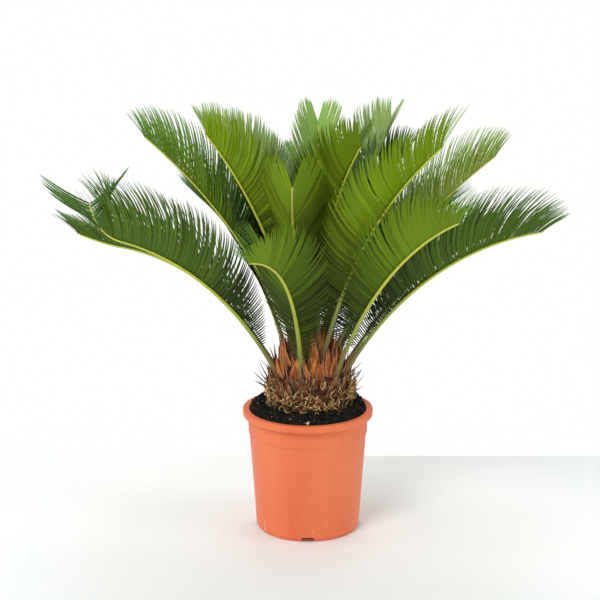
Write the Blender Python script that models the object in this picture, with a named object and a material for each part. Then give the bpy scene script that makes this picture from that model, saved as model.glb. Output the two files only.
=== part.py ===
"""A sago palm in its nursery pot.

Metres, +Z up. The origin is on the pot's axis at its underside, and -Y is the front.
The pot holds a fill of soil, the caudex stands on the soil with a flat foot, the crown of
bud scales stands on the caudex, and every frond starts at one of these two, a hair clear.
"""

import math
import random
from dataclasses import dataclass

import bmesh
import bpy
from mathutils import Matrix, Vector
from mathutils.bvhtree import BVHTree

GAP = 0.0003
SEED = 21

# Pot: a turned shell with a folded lip, a collar and drainage notches in its foot
POT_HEIGHT = 0.206
POT_SIDES = 40
BASE_RADIUS = 0.0860
LIP_RADIUS = 0.1078
LIP_HEIGHT = 0.0115
COLLAR_RADIUS = 0.0990
COLLAR_HEIGHT = 0.042
SHOULDER_RADIUS = 0.0968
WALL = 0.0022
FLOOR = 0.0030
EDGE = 0.0010
NOTCHES = 4
NOTCH_WIDTH = 0.020
NOTCH_HEIGHT = 0.0082
NOTCH_DEPTH = 0.008

# Soil: fills the pot, rises to the caudex and banks higher on the right
SOIL_EDGE_DROP = 0.0060
SOIL_LEVEL = 0.2145
BANK_RADIUS = 0.0800
PIT_RADIUS = 0.0765
BANK_HEIGHT = 0.0040
BANK_RISE_RIGHT = 0.0060
BANK_EDGE_RADIUS = 0.0890
BANK_FOOT_DROP = 0.0090
SOIL_ROUGHNESS = 0.0012

# Caudex: an egg with a flat foot, clad in old leaf bases
PALM_X = 0.0040
CAUDEX_SIDES = 30
FOOT_RADIUS = 0.0640
CAUDEX_RADIUS = 0.0700
CAUDEX_TOP = 0.2860
CAUDEX_TOP_RADIUS = 0.0470
CAUDEX_ROWS = 8
BELLY_SHARE = 0.36
CLAD_ROWS = range(1, 5)
LEAF_BASE_INSET = 0.0012
LEAF_BASE_OUT = 0.0050
SPIKE_OUT = 0.0170
SPIKE_EVERY = 7

# Crown of bud scales
CROWN_SIDES = 18
CROWN_ROWS = 5
CROWN_RADIUS = 0.0460
CROWN_TOP = 0.3120
CROWN_TOP_RADIUS = 0.0090
SCALE_INSET = 0.0010
SCALE_LENGTH = 0.0300
SCALE_TIP_SHARE = 0.18

# Fronds
PETIOLE_SHARE = 0.20
PETIOLE_STATIONS = 4
BEND_POWER = 1.3
CURL_START = 0.82
CURL_POWER = 0.8
RIB_WIDTH_ROOT = 0.0090
RIB_WIDTH_TIP = 0.0030
RIB_TOP_SHARE = 0.32
RIB_KEEL_SHARE = 0.48

# Leaflets: each fills a share of its pitch, and stands for several of the real ones
LEAFLET_PAIRS = 13
LEAFLET_LENGTH = 0.115
LEAFLET_SHARE = 0.62
LEAFLET_DEPTH = 0.0022
LEAFLET_LIFT = 44.0
LEAFLET_PEAK = 0.42
SHORTER_AT_ROOT = 0.55
SHORTER_AT_TIP = 0.42
WIDEST_SHARE = 0.55
TIP_BEND = 0.07
ANGLE_ROOT = 60.0
ANGLE_TIP = 21.0
CLEARANCE = 0.0006
SEAT_GAP = 0.0005
PATH_STEPS = 60

# Each try is a share of the leaflet's length and the degrees added to its lift. The two lifts
# together stay under the slope of the rib's side, or the leaflet would cut into the rib.
LEAFLET_TRIES = ((1.0, 0.0), (1.0, 9.0), (0.78, 0.0), (0.78, 9.0), (0.56, 6.0))


@dataclass
class Frond:
    """A frond's name, whorl, heading and shape.

    heading: degrees from +X towards +Y. rise and tip_rise: the rib's slope at its root and
    tip. sway: the degrees the heading turns along the rib. curl: degrees the tip turns up.
    size: its leaflets' length, as a share of the usual one.
    """

    name: str
    whorl: str
    heading: float
    rise: float
    tip_rise: float
    length: float
    sway: float = 0.0
    curl: float = 0.0
    size: float = 1.0


# Distance from the palm's axis to the foot of each whorl's fronds
WHORL_RADIUS = {"outer": 0.0580, "middle": 0.0380, "inner": 0.0200}

FRONDS = (
    Frond("frond_left_low", "outer", 203, 60.5, 7.5, 0.452, sway=7, curl=60, size=1.1),
    Frond("frond_right_low", "outer", -17, 58.8, 12.5, 0.422, sway=-3, size=1.05),
    Frond("frond_front", "outer", -104, 77, 8, 0.35, sway=-15, size=0.9),
    Frond("frond_right_front", "outer", -45, 66, 24, 0.41, sway=-9),
    Frond("frond_right_tall", "middle", -58, 65, 41.5, 0.457, sway=28, size=1.1),
    Frond("frond_left_tall", "inner", 171, 64.8, 38, 0.43, sway=-3),
    Frond("frond_left_steep", "inner", -147, 76, 50, 0.41),
    Frond("frond_front_inner", "inner", -106, 70, 51, 0.34, sway=20),
    Frond("frond_right_steep", "inner", -56, 88, 50, 0.375),
    Frond("frond_right_high", "middle", 0, 62.2, 37.5, 0.42),
    Frond("frond_back_inner", "inner", 84, 71, 26, 0.435, sway=8),
    Frond("frond_right_far", "middle", 46, 80, 44, 0.405, sway=8, size=0.9),
    Frond("frond_left_behind", "outer", 172, 60, -9, 0.41, sway=4, curl=25, size=0.75),
    Frond("frond_left_far", "middle", 141, 73, 46, 0.405, size=0.9),
    Frond("frond_back_left_high", "inner", 132, 73, 42, 0.39, size=0.9),
    Frond("frond_back_left", "middle", 115, 71, 38, 0.37, size=0.8),
    Frond("frond_back_slim", "middle", 92, 65, 26, 0.38, sway=6, size=0.75),
    Frond("frond_right_behind", "outer", 14, 57, 18, 0.33),
    Frond("frond_right_far_inner", "inner", 34, 74, 42, 0.36, size=0.9),
    Frond("frond_back_low_right", "outer", 44, 60, 12, 0.38),
    Frond("frond_back_low", "outer", 72, 60, 12, 0.38),
    Frond("frond_back_low_left", "outer", 100, 60, 12, 0.38),
    Frond("frond_back_low_far", "outer", 127, 62, 16, 0.37),
)


def clear_scene():
    for old in list(bpy.data.objects):
        bpy.data.objects.remove(old, do_unlink=True)


def material(name, colour, roughness):
    """A plain Principled material, with the colour given as linear red, green and blue."""
    made = bpy.data.materials.new(name)
    made.use_nodes = True
    shader = made.node_tree.nodes["Principled BSDF"]
    shader.inputs["Base Color"].default_value = (*colour, 1.0)
    shader.inputs["Roughness"].default_value = roughness
    shader.inputs["Metallic"].default_value = 0.0
    return made


def new_object(name, bm, finish):
    """Turns a bmesh into an object of the scene with one material."""
    bmesh.ops.recalc_face_normals(bm, faces=bm.faces)
    mesh = bpy.data.meshes.new(name)
    bm.to_mesh(mesh)
    bm.free()
    mesh.materials.append(finish)
    obj = bpy.data.objects.new(name, mesh)
    bpy.context.scene.collection.objects.link(obj)
    return obj


def shade_round(obj):
    """Smooth shading with the edges kept."""
    obj.data.shade_smooth()
    obj.data.set_sharp_from_angle(angle=math.radians(30))


def apply_modifiers(obj):
    """Puts the shape that the modifiers give into the object's own mesh."""
    graph = bpy.context.evaluated_depsgraph_get()
    shaped = bpy.data.meshes.new_from_object(obj.evaluated_get(graph))
    obj.modifiers.clear()
    obj.data = shaped


def search_tree(obj):
    """A search tree of an object's faces."""
    points = [vert.co.copy() for vert in obj.data.vertices]
    faces = [tuple(face.vertices) for face in obj.data.polygons]
    return BVHTree.FromPolygons(points, faces)


def turned(profile, sides, centre_x=0.0):
    """A closed solid turned about a vertical axis from (radius, height) points.

    The first and the last point close it with flat discs. The rings are returned too.
    """
    bm = bmesh.new()
    rings = []
    for radius, height in profile:
        ring = []
        for side in range(sides):
            angle = math.tau * side / sides
            spot = (centre_x + radius * math.cos(angle), radius * math.sin(angle), height)
            ring.append(bm.verts.new(spot))
        rings.append(ring)
    for lower, upper in zip(rings, rings[1:]):
        for side in range(sides):
            following = (side + 1) % sides
            bm.faces.new((lower[side], lower[following], upper[following], upper[side]))
    bm.faces.new(rings[0][::-1])
    bm.faces.new(rings[-1])
    bm.normal_update()
    return bm, rings


def checker_faces(bm, sides, rows):
    """Every second face of the given rows of a turned solid."""
    bm.faces.ensure_lookup_table()
    return [
        bm.faces[row * sides + side]
        for row in rows
        for side in range(sides)
        if (row + side) % 2 == 0
    ]


def wall_radius(height):
    """The pot's inner radius at a height below its collar."""
    share = height / (POT_HEIGHT - COLLAR_HEIGHT)
    return BASE_RADIUS + (SHOULDER_RADIUS - BASE_RADIUS) * share - WALL


def build_pot(finish):
    shoulder = POT_HEIGHT - COLLAR_HEIGHT
    lip_foot = POT_HEIGHT - LIP_HEIGHT
    mouth = COLLAR_RADIUS - WALL
    profile = [
        (BASE_RADIUS - 2 * EDGE, 0.0),
        (BASE_RADIUS, 2 * EDGE),
        (SHOULDER_RADIUS, shoulder),
        (COLLAR_RADIUS - EDGE, shoulder + 2 * EDGE),
        (COLLAR_RADIUS, lip_foot),
        (LIP_RADIUS - EDGE, lip_foot),
        (LIP_RADIUS, lip_foot + 2 * EDGE),
        (LIP_RADIUS, POT_HEIGHT - 3 * EDGE),
        (LIP_RADIUS - 3 * EDGE, POT_HEIGHT),
        (mouth, POT_HEIGHT - EDGE),
        (mouth, shoulder + 4 * EDGE),
        (wall_radius(shoulder), shoulder + EDGE),
        (wall_radius(FLOOR), FLOOR),
    ]
    bm, _ = turned(profile, POT_SIDES)
    pot = new_object("pot", bm, finish)

    cutters = bpy.data.collections.new("notch_cutters")
    bpy.context.scene.collection.children.link(cutters)
    for notch in range(NOTCHES):
        angle = math.tau * notch / NOTCHES - math.pi / 2
        size = (2 * NOTCH_DEPTH, NOTCH_WIDTH, 2 * NOTCH_HEIGHT, 1.0)
        place = Matrix.Rotation(angle, 4, "Z") @ Matrix.Translation((BASE_RADIUS, 0.0, 0.0))
        cut = bmesh.new()
        bmesh.ops.create_cube(cut, size=1.0, matrix=place @ Matrix.Diagonal(size))
        cutter = new_object(f"notch_cutter_{notch}", cut, finish)
        cutter.hide_render = True
        cutter.display_type = "WIRE"
        cutters.objects.link(cutter)
    notching = pot.modifiers.new("drainage_notches", "BOOLEAN")
    notching.operand_type = "COLLECTION"
    notching.collection = cutters
    notching.operation = "DIFFERENCE"
    notching.solver = "EXACT"
    apply_modifiers(pot)
    shade_round(pot)
    for cutter in list(cutters.objects):
        bpy.data.objects.remove(cutter, do_unlink=True)
    bpy.data.collections.remove(cutters)


def build_soil(finish):
    """The fill of the pot, with its lower edge cut away behind the notches."""
    shoulder = POT_HEIGHT - COLLAR_HEIGHT
    mouth = COLLAR_RADIUS - WALL - GAP
    profile = [
        (wall_radius(FLOOR) - 2 * NOTCH_DEPTH, FLOOR + GAP),
        (wall_radius(FLOOR) - EDGE - GAP, FLOOR + 2 * NOTCH_DEPTH),
        (wall_radius(shoulder) - GAP, shoulder + 2 * EDGE),
        (mouth, shoulder + 5.5 * EDGE),
        (mouth, POT_HEIGHT - SOIL_EDGE_DROP),
        (BANK_EDGE_RADIUS, SOIL_LEVEL - BANK_FOOT_DROP),
        (BANK_RADIUS, SOIL_LEVEL + BANK_HEIGHT),
        (PIT_RADIUS, SOIL_LEVEL),
    ]
    bm, rings = turned(profile, POT_SIDES)
    draw = random.Random(SEED)
    for ring, lift in ((rings[5], 0.6), (rings[6], 1.0)):
        for vert in ring:
            right = 0.5 + 0.5 * vert.co.x / vert.co.xy.length
            rough = draw.uniform(-SOIL_ROUGHNESS, SOIL_ROUGHNESS)
            vert.co.z += lift * (BANK_RISE_RIGHT * right + rough)
    new_object("soil", bm, finish)


def caudex_profile():
    """(radius, height) points up the egg, from its flat foot to the seat of the crown."""
    foot = SOIL_LEVEL + GAP
    points = []
    for row in range(CAUDEX_ROWS + 1):
        share = row / CAUDEX_ROWS
        if share < BELLY_SHARE:
            swell = math.sin(0.5 * math.pi * share / BELLY_SHARE)
            radius = FOOT_RADIUS + (CAUDEX_RADIUS - FOOT_RADIUS) * swell
        else:
            fall = (share - BELLY_SHARE) / (1.0 - BELLY_SHARE)
            radius = CAUDEX_RADIUS - (CAUDEX_RADIUS - CAUDEX_TOP_RADIUS) * fall**1.6
        points.append((radius, foot + (CAUDEX_TOP - foot) * share))
    return points


def build_caudex(finish):
    """The egg with old leaf bases, and here and there a spine, drawn out of its sides."""
    bm, _ = turned(caudex_profile(), CAUDEX_SIDES, PALM_X)
    draw = random.Random(SEED + 1)
    bases = checker_faces(bm, CAUDEX_SIDES, CLAD_ROWS)
    bmesh.ops.inset_individual(bm, faces=bases, thickness=LEAF_BASE_INSET)
    for count, face in enumerate(bases):
        out = (face.normal + Vector((0.0, 0.0, 0.5))).normalized()
        middle = face.calc_center_median()
        spiked = count % SPIKE_EVERY == SPIKE_EVERY // 2
        reach = SPIKE_OUT if spiked else LEAF_BASE_OUT * draw.uniform(0.6, 1.3)
        taper = 0.12 if spiked else 0.55
        for vert in face.verts:
            vert.co = middle + (vert.co - middle) * taper + out * reach
    return new_object("trunk", bm, finish)


def crown_profile():
    """(radius, height) points up the low dome that the bud scales stand on."""
    foot = CAUDEX_TOP + GAP
    points = []
    for row in range(CROWN_ROWS + 1):
        bend = 0.5 * math.pi * row / CROWN_ROWS
        radius = CROWN_TOP_RADIUS + (CROWN_RADIUS - CROWN_TOP_RADIUS) * math.cos(bend)
        points.append((radius, foot + (CROWN_TOP - foot) * math.sin(bend)))
    return points


def build_crown(finish, ribs):
    """The dome with pointed scales that stand up wherever the fronds leave them room."""
    bm, _ = turned(crown_profile(), CROWN_SIDES, PALM_X)
    draw = random.Random(SEED + 2)
    scales = checker_faces(bm, CROWN_SIDES, range(CROWN_ROWS))
    bmesh.ops.inset_individual(bm, faces=scales, thickness=SCALE_INSET)
    for face in scales:
        level = Vector((face.normal.x, face.normal.y, 0.0))
        heading = (level * 0.3 + Vector((0.0, 0.0, 1.0))).normalized()
        middle = face.calc_center_median()
        corners = [vert.co.copy() for vert in face.verts]
        for share in (draw.uniform(0.8, 1.2), 0.6, 0.35):
            tip = middle + level * 4 * EDGE + heading * SCALE_LENGTH * share
            ends = [tip + (corner - middle) * SCALE_TIP_SHARE for corner in corners]
            if not scale_touches(corners, ends, ribs):
                for vert, end in zip(face.verts, ends):
                    vert.co = end
                break
    return new_object("crown_scales", bm, finish)


def widened(points, by):
    """The points moved away from their middle, by a length."""
    middle = sum(points, Vector()) / len(points)
    return [point + (point - middle).normalized() * by for point in points]


def scale_touches(corners, ends, others):
    """Whether a scale drawn from a face's corners comes too near any other solid."""
    count = len(corners)
    faces = [(i, (i + 1) % count, count + (i + 1) % count, count + i) for i in range(count)]
    points = widened(corners, CLEARANCE) + widened(ends, CLEARANCE)
    scale = BVHTree.FromPolygons(points, faces)
    return any(scale.overlap(other) for other in others)


class Rib:
    """The curved rib of a frond, from the face that carries it to its tip."""

    def __init__(self, frond, carriers):
        self.frond = frond
        root, seat_normal = self.foot(carriers)
        self.places = [root]
        for index in range(PATH_STEPS):
            along, _, _ = self.directions((index + 0.5) / PATH_STEPS)
            self.places.append(self.places[-1] + along * (frond.length / PATH_STEPS))
        self.start = self.cut_ring(seat_normal)

    def foot(self, carriers):
        """The point just clear of the face that carries the frond, and that face's normal."""
        heading = math.radians(self.frond.heading)
        radius = WHORL_RADIUS[self.frond.whorl]
        above = Vector((PALM_X + radius * math.cos(heading), radius * math.sin(heading), 1.0))
        hits = [tree.ray_cast(above, Vector((0.0, 0.0, -1.0))) for tree in carriers]
        spot, normal, _, _ = min((hit for hit in hits if hit[0]), key=lambda hit: hit[3])
        return spot + normal * SEAT_GAP, normal

    def directions(self, share):
        """The rib's own directions: along it, to its right and up off its face."""
        frond = self.frond
        rise = frond.rise + (frond.tip_rise - frond.rise) * share**BEND_POWER
        rise += frond.curl * max(0.0, (share - CURL_START) / (1.0 - CURL_START)) ** CURL_POWER
        rise = math.radians(rise)
        heading = math.radians(frond.heading + frond.sway * share**2)
        out = Vector((math.cos(heading), math.sin(heading), 0.0))
        along = out * math.cos(rise) + Vector((0.0, 0.0, math.sin(rise)))
        side = Vector((math.sin(heading), -math.cos(heading), 0.0))
        return along, side, side.cross(along)

    def at(self, share):
        """The place and the three directions at a share of the rib's length."""
        spot = share * PATH_STEPS
        low = min(int(spot), PATH_STEPS - 1)
        place = self.places[low].lerp(self.places[low + 1], spot - low)
        return (place, *self.directions(share))

    def width(self, share):
        return RIB_WIDTH_ROOT + (RIB_WIDTH_TIP - RIB_WIDTH_ROOT) * share**0.7

    def ring(self, share):
        """The three corners of the rib: left, right and keel."""
        place, _, side, normal = self.at(share)
        width = self.width(share)
        top = place + normal * width * RIB_TOP_SHARE
        keel = place - normal * width * RIB_KEEL_SHARE
        return [top - side * width / 2, top + side * width / 2, keel]

    def cut_ring(self, normal):
        """The first ring's corners, cut parallel to the face that carries the frond."""
        root, along, _, _ = self.at(0.0)
        steep = along.dot(normal)
        return [
            corner + along * ((root - corner).dot(normal) / steep) for corner in self.ring(0.0)
        ]

    def search_tree(self):
        """A search tree of the bare rib, widened by the clearance."""
        steps = 20
        rings = [self.start] + [self.ring(step / steps) for step in range(1, steps + 1)]
        points = [point for ring in rings for point in widened(ring, CLEARANCE)]
        faces = [(0, 1, 2)]
        for low in range(0, 3 * steps, 3):
            for side in range(3):
                turn = (side + 1) % 3
                faces.append((low + side, low + turn, low + 3 + turn, low + 3 + side))
        return BVHTree.FromPolygons(points, faces)


def rib_share(blade_share):
    """The share of the rib's length at a share of its leafy blade."""
    return PETIOLE_SHARE + (1.0 - PETIOLE_SHARE) * blade_share


def leaflet_length(blade_share):
    """Short at the blade's foot, longest near its middle, and shorter again at its tip."""
    if blade_share < LEAFLET_PEAK:
        below = (LEAFLET_PEAK - blade_share) / LEAFLET_PEAK
        return LEAFLET_LENGTH * (1.0 - SHORTER_AT_ROOT * below**1.6)
    beyond = (blade_share - LEAFLET_PEAK) / (1.0 - LEAFLET_PEAK)
    return LEAFLET_LENGTH * (1.0 - SHORTER_AT_TIP * beyond**1.6)


def leaflet_points(rib, blade_share, hand, size, more_lift):
    """The front, back and keel of a leaflet where it is widest, and its tip.

    hand is 1 on the rib's right and -1 on its left.
    """
    share = rib_share(blade_share)
    place, along, side, normal = rib.at(share)
    angle = math.radians(ANGLE_ROOT + (ANGLE_TIP - ANGLE_ROOT) * blade_share**1.1)
    lift = math.radians(LEAFLET_LIFT + more_lift)
    sideways = side * hand * math.cos(lift) + normal * math.sin(lift)
    heading = along * math.cos(angle) + sideways * math.sin(angle)
    length = leaflet_length(blade_share) * size * rib.frond.size
    root = place + sideways * rib.width(share) / 2
    across = (along - heading * along.dot(heading)).normalized()
    below = across.cross(heading)
    if below.dot(normal) > 0:
        below.negate()
    half = 0.5 * LEAFLET_SHARE * leaflet_pitch() * rib.frond.length * math.sin(angle)
    widest = root + heading * length * WIDEST_SHARE
    tip = root + heading * length + along * length * TIP_BEND
    return [widest + across * half, widest - across * half, widest + below * LEAFLET_DEPTH, tip]


def leaflet_faces(base, made, hand):
    """Faces of a leaflet.

    base: its front and back corners on top of the rib, then its back and front corners on
    the rib's keel. made: what leaflet_points gives.
    """
    top_front, top_back, keel_back, keel_front = base
    front, back, keel, tip = made
    faces = [
        (top_front, top_back, back, front),
        (front, keel, keel_front, top_front),
        (top_back, keel_back, keel, back),
        (keel_front, keel, keel_back),
        (front, back, tip),
        (back, keel, tip),
        (keel, front, tip),
    ]
    return faces if hand > 0 else [face[::-1] for face in faces]


def leaflet_tree(base, made):
    """A search tree of one leaflet, fattened by the clearance on every side."""
    top_front, top_back, keel_back, keel_front = base
    front, back, keel, tip = made
    wide = (front - back).normalized() * CLEARANCE
    deep = (keel - (front + back) / 2).normalized() * CLEARANCE
    reach = (tip - keel).normalized() * CLEARANCE
    points = [
        top_front + wide - deep,
        top_back - wide - deep,
        keel_back - wide + deep,
        keel_front + wide + deep,
        front + wide - deep,
        back - wide - deep,
        keel + deep,
        tip + reach,
    ]
    return BVHTree.FromPolygons(points, leaflet_faces((0, 1, 2, 3), (4, 5, 6, 7), 1))


def grown_leaflet(rib, pair, hand, base, others):
    """The first of the leaflet's tries that touches nothing, or None."""
    for size, more_lift in LEAFLET_TRIES:
        made = leaflet_points(rib, (pair + 0.5) / LEAFLET_PAIRS, hand, size, more_lift)
        tree = leaflet_tree(base, made)
        if not any(tree.overlap(other) for other in others):
            return made
    return None


def leaflet_pitch():
    """The share of the rib's length that one pair of leaflets takes."""
    return (1.0 - PETIOLE_SHARE) / LEAFLET_PAIRS


def rib_stations():
    """The shares of the rib where its rings lie: two for each pair of leaflets."""
    shares = [PETIOLE_SHARE * step / PETIOLE_STATIONS for step in range(1, PETIOLE_STATIONS)]
    half = 0.5 * LEAFLET_SHARE / LEAFLET_PAIRS
    for pair in range(LEAFLET_PAIRS):
        middle = (pair + 0.5) / LEAFLET_PAIRS
        shares += [rib_share(middle - half), rib_share(middle + half)]
    return shares


def build_frond(rib, others, finish):
    """One closed solid: the swept rib with leaflets drawn out of its two lower sides."""
    rings = [rib.start] + [rib.ring(share) for share in rib_stations()]
    points = [corner for ring in rings for corner in ring]
    faces = [(2, 1, 0)]
    first_leafy = len(rings) - 2 * LEAFLET_PAIRS
    for index in range(len(rings) - 1):
        left, right, keel = (3 * index + corner for corner in range(3))
        up_left, up_right, up_keel = left + 3, right + 3, keel + 3
        faces.append((left, right, up_right, up_left))
        pair, gap = divmod(index - first_leafy, 2)
        for hand, near, far in ((1, right, up_right), (-1, left, up_left)):
            base = (far, near, keel, up_keel)
            made = None
            if index >= first_leafy and not gap:
                corners = [points[corner] for corner in base]
                made = grown_leaflet(rib, pair, hand, corners, others)
            if made:
                fresh = tuple(range(len(points), len(points) + len(made)))
                points += made
                faces += leaflet_faces(base, fresh, hand)
            else:
                faces.append(base if hand > 0 else base[::-1])
    last = 3 * (len(rings) - 1)
    faces.append((last, last + 1, last + 2))

    bm = bmesh.new()
    verts = [bm.verts.new(point) for point in points]
    for face in faces:
        bm.faces.new([verts[corner] for corner in face])
    return new_object(rib.frond.name, bm, finish)


def main():
    clear_scene()
    build_pot(material("terracotta_plastic", (0.85, 0.20, 0.08), 0.45))
    build_soil(material("potting_soil", (0.018, 0.016, 0.013), 0.95))
    trunk = search_tree(build_caudex(material("old_leaf_bases", (0.30, 0.17, 0.07), 0.90)))
    dome_mesh, _ = turned(crown_profile(), CROWN_SIDES, PALM_X)
    dome = BVHTree.FromBMesh(dome_mesh)
    dome_mesh.free()

    ribs = [Rib(frond, (trunk, dome)) for frond in FRONDS]
    rib_trees = [rib.search_tree() for rib in ribs]
    bud_scales = material("bud_scales", (0.45, 0.17, 0.05), 0.85)
    solids = [trunk, search_tree(build_crown(bud_scales, rib_trees))]
    leaf = material("frond_green", (0.13, 0.27, 0.03), 0.50)
    for index, rib in enumerate(ribs):
        other_ribs = rib_trees[:index] + rib_trees[index + 1 :]
        frond = build_frond(rib, solids + other_ribs, leaf)
        solids.append(search_tree(frond))


main()
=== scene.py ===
"""The looks of a sago palm in its nursery pot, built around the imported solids.

Metres, +Z up. The origin is on the pot's axis at its underside, and -Y is the front.
Every frond is a swept rib with some eighty narrow leaflets a side, by the rule that shaped
its solid. The caudex wears leaf bases, scales, fibres and spines, and the pot's fill is a
crumbly mound of soil.
"""

import math
from dataclasses import dataclass

import bpy
import numpy as np
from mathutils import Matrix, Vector, noise


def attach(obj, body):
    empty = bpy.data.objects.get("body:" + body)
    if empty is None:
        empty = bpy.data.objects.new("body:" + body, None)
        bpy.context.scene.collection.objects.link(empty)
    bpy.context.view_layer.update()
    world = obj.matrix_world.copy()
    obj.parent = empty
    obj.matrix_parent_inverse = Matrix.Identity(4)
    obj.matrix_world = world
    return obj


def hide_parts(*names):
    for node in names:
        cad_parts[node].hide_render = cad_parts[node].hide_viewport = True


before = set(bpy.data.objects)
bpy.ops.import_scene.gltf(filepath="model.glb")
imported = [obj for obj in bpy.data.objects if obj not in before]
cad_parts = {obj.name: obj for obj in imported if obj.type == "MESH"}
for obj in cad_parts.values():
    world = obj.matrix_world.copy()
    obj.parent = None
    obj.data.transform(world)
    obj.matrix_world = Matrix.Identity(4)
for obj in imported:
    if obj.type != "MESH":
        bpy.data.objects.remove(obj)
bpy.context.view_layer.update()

SEED = 21

# Camera
CAMERA_PLACE = (-0.013, -2.73, 1.08)
CAMERA_TILT = 75.8
CAMERA_LENS = 103.4
SENSOR_WIDTH = 36.0

AMBIENT = 0.42
FLOOR_BACK = 0.342

# Pot
POT_HEIGHT = 0.206
POT_SIDES = 192
BASE_RADIUS = 0.0860
LIP_RADIUS = 0.1078
LIP_HEIGHT = 0.0115
COLLAR_RADIUS = 0.0990
COLLAR_HEIGHT = 0.042
SHOULDER_RADIUS = 0.0968
WALL = 0.0022
FLOOR = 0.0030
NOTCHES = 4
NOTCH_WIDTH = 0.020
NOTCH_HEIGHT = 0.0082
NOTCH_DEPTH = 0.008

# Soil
SOIL_TOP_RINGS = 70
SOIL_SIDES = 240
SOIL_EDGE_HEIGHT = 0.2040
SOIL_LEVEL = 0.2145
SOIL_INNER_RADIUS = 0.0550
BANK_RADIUS = 0.0830
BANK_HEIGHT = 0.0014
BANK_RISE_RIGHT = 0.0050
BANK_EDGE_RADIUS = 0.0925
BANK_FOOT_DROP = 0.0062
BANK_RISE_BACK = 0.0040
GAP = 0.0003

# Caudex and crown
PALM_X = 0.0040
CAUDEX_SIDES = 180
FOOT_RADIUS = 0.0640
CAUDEX_RADIUS = 0.0700
CAUDEX_TOP = 0.2860
CAUDEX_TOP_RADIUS = 0.0470
BELLY_SHARE = 0.36
CROWN_RADIUS = 0.0460
CROWN_TOP = 0.3120
CROWN_TOP_RADIUS = 0.0090
GOLDEN_ANGLE = math.radians(137.508)

# Fronds
# The share of a frond's length that is bare petiole, by whorl
PETIOLES = {"outer": 0.18, "middle": 0.11, "inner": 0.07}
BEND_POWER = 1.3
CURL_START = 0.82
CURL_POWER = 0.8
RIB_WIDTH_ROOT = 0.0090
RIB_WIDTH_TIP = 0.0030
RIB_TOP_SHARE = 0.32
RIB_KEEL_SHARE = 0.48
RIB_ROWS = 64
SPINE_PITCH = 0.0060
PATH_STEPS = 60

# Leaflets
LEAFLET_PITCH = 0.0036
LEAFLET_WIDTH = 0.0043
LEAFLET_LENGTH = 0.112
LEAFLET_TWIST = 24.0
# From the blade's foot to its tip: each leaflet's angle off the rib, how many degrees its
# path swings either side of that angle, and its length as a share of the longest
BLADE_SHARES = (0.0, 0.10, 0.20, 0.35, 0.50, 0.65, 0.80, 0.92, 1.0)
LEAFLET_ANGLES = (84.0, 76.0, 68.0, 60.0, 54.0, 48.0, 39.0, 31.0, 24.0)
LEAFLET_SWINGS = (3.0, 8.0, 13.0, 18.0, 20.0, 20.0, 18.0, 14.0, 10.0)
LEAFLET_LENGTHS = (0.07, 0.30, 0.55, 0.84, 0.98, 1.0, 0.91, 0.68, 0.42)


@dataclass
class Frond:
    """A frond's name, whorl, heading and shape, as in the part, and the tints it wears.

    heading: degrees from +X towards +Y. rise and tip_rise: the rib's slope at its root and
    tip. sway: the degrees the heading turns along the rib. curl and turn: the degrees that
    the tip bends up and sideways. lifts: how far its leaflets fold up, at shares of its
    blade. size: theirs. spread: degrees that its last leaflets stand off wider.
    """

    name: str
    whorl: str
    heading: float
    rise: float
    tip_rise: float
    length: float
    tint: str
    size: float = 1.0
    sway: float = 0.0
    curl: float = 0.0
    turn: float = 0.0
    spread: float = 0.0
    petiole: float = 0.0
    foot: float = 0.0
    tail: float = 0.0
    lifts: tuple = ((0.0, 50.0),)


# Distance from the palm's axis to the foot of each whorl's fronds
WHORL_RADIUS = {"outer": 0.0580, "middle": 0.0380, "inner": 0.0200}

FLAT_TIP = ((0.0, 60.0), (0.82, 58.0), (0.94, 6.0))
OPEN_FOOT = ((0.0, 24.0), (0.30, 28.0), (0.70, 60.0))
COMB_FOOT = ((0.0, 24.0), (0.30, 30.0), (0.60, 50.0))
LOW_FOOT = ((0.0, 20.0), (0.40, 46.0), (1.0, 50.0))

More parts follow.
